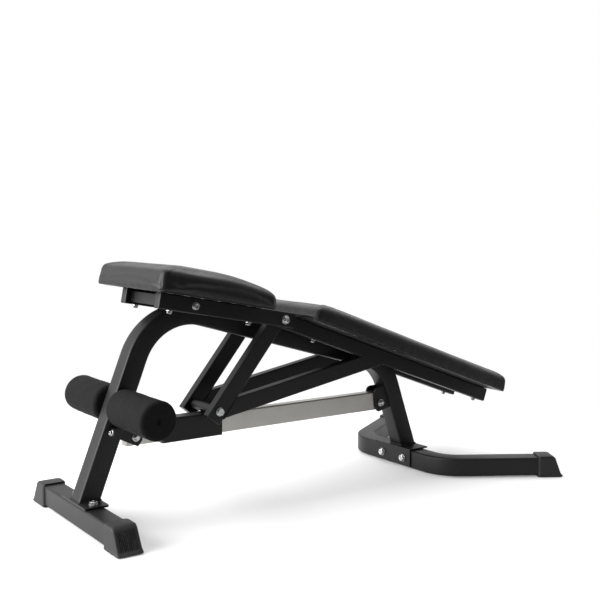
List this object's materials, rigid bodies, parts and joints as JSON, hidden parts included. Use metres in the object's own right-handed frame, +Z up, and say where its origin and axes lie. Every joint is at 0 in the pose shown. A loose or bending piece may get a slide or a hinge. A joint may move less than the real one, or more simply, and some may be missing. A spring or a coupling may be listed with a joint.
{
  "type": "adjustable weight bench",
  "caption": "Adjustable weight bench with hinged seat and back pads on a bent tube frame, a sliding link carriage, foam leg rollers and a splayed front base.",
  "frame": {"origin": "centre of the overall footprint, on the floor", "axes": "+X toward the head end of the back pad, +Z up, Y across the bench"},
  "size_m": [1.285, 0.7418, 0.5965],
  "materials": {
    "powder": "black satin powder coat",
    "zinc": "bright zinc plate",
    "rail_steel": "brushed and plated",
    "vinyl": "black vinyl upholstery",
    "plywood": "raw plywood",
    "foam": "matt black foam",
    "plastic": "black moulded plastic"
  },
  "bodies": {
    "frame": {"rear_base_tube": "powder", "rear_foot_cap_near": "plastic", "rear_foot_cap_far": "plastic", "rear_base_plate": "powder", "rear_base_bolt_near": "zinc", "rear_base_bolt_far": "zinc", "main_frame_tube": "powder", "front_saddle": "powder", "front_saddle_bolt_near": "zinc", "front_saddle_bolt_far": "zinc", "front_base_tube": "powder", "front_foot_cap_near": "plastic", "front_foot_cap_far": "plastic", "guide_rail": "rail_steel", "rear_rail_bracket": "powder", "rear_rail_bolt": "zinc", "rear_leg_lug": "powder", "rear_leg_bolt": "zinc", "front_rail_ears": "powder", "front_rail_bolt": "zinc", "seat_pivot_tube": "powder", "roller_rod": "powder"},
    "seat": {"seat_rail_near": "powder", "seat_rail_far": "powder", "seat_rail_plug_near": "plastic", "seat_rail_plug_far": "plastic", "seat_cross_member": "powder", "seat_board": "plywood", "seat_cushion": "vinyl", "seat_pivot_bolt_near": "zinc", "seat_pivot_bolt_far": "zinc", "seat_pad_screw_near_1": "zinc", "seat_pad_screw_near_2": "zinc", "seat_pad_screw_far_1": "zinc", "seat_pad_screw_far_2": "zinc"},
    "back": {"back_rail_near": "powder", "back_rail_far": "powder", "back_rail_plug_near": "plastic", "back_rail_plug_far": "plastic", "hinge_arm_near": "powder", "hinge_arm_far": "powder", "brace_arm_near": "powder", "brace_arm_far": "powder", "back_hinge_bolt_near": "zinc", "back_hinge_bolt_far": "zinc", "back_board": "plywood", "back_cushion": "vinyl", "link_bolt_near": "zinc", "link_bolt_far": "zinc", "back_pad_screw_near_1": "zinc", "back_pad_screw_near_2": "zinc", "back_pad_screw_far_1": "zinc", "back_pad_screw_far_2": "zinc"},
    "carriage": {"carriage_sleeve": "powder", "carriage_cross_tube": "powder", "pin_housing": "zinc"},
    "pull_pin": {"pull_pin": "zinc", "pin_knob": "plastic"},
    "roller_near": {"foam_roller_near": "foam"},
    "roller_far": {"foam_roller_far": "foam"}
  },
  "joints": [
    {"name": "back_recline", "type": "hinge", "parent": "seat", "child": "back", "pos_m": [-0.11835, 0, 0.45234], "axis": [0, -1, 0], "range_deg": [0, 88.31]},
    {"name": "seat_tilt", "type": "hinge", "parent": "frame", "child": "seat", "pos_m": [-0.37087, 0, 0.4996], "axis": [0, -1, 0], "range_deg": [-8, 1]},
    {"name": "carriage_slide", "type": "slide", "parent": "frame", "child": "carriage", "axis": [1, 0, 0], "range_m": [-0.001, 0.3671]},
    {"name": "pin_pull", "type": "slide", "parent": "carriage", "child": "pull_pin", "axis": [0, 1, 0], "range_m": [0, 0.012], "stiffness_N_per_m": 600, "springref_m": -0.004},
    {"name": "roller_near_spin", "type": "hinge", "parent": "frame", "child": "roller_near", "pos_m": [-0.52447, 0, 0.267], "axis": [0, 1, 0], "continuous": true},
    {"name": "roller_far_spin", "type": "hinge", "parent": "frame", "child": "roller_far", "pos_m": [-0.52447, 0, 0.267], "axis": [0, 1, 0], "continuous": true}
  ],
  "couplings": [
    {"joint": "seat_tilt", "follows": "back_recline", "ratio": -0.048834},
    {"joint": "carriage_slide", "follows": "back_recline", "m_per_rad": 0.23687}
  ]
}
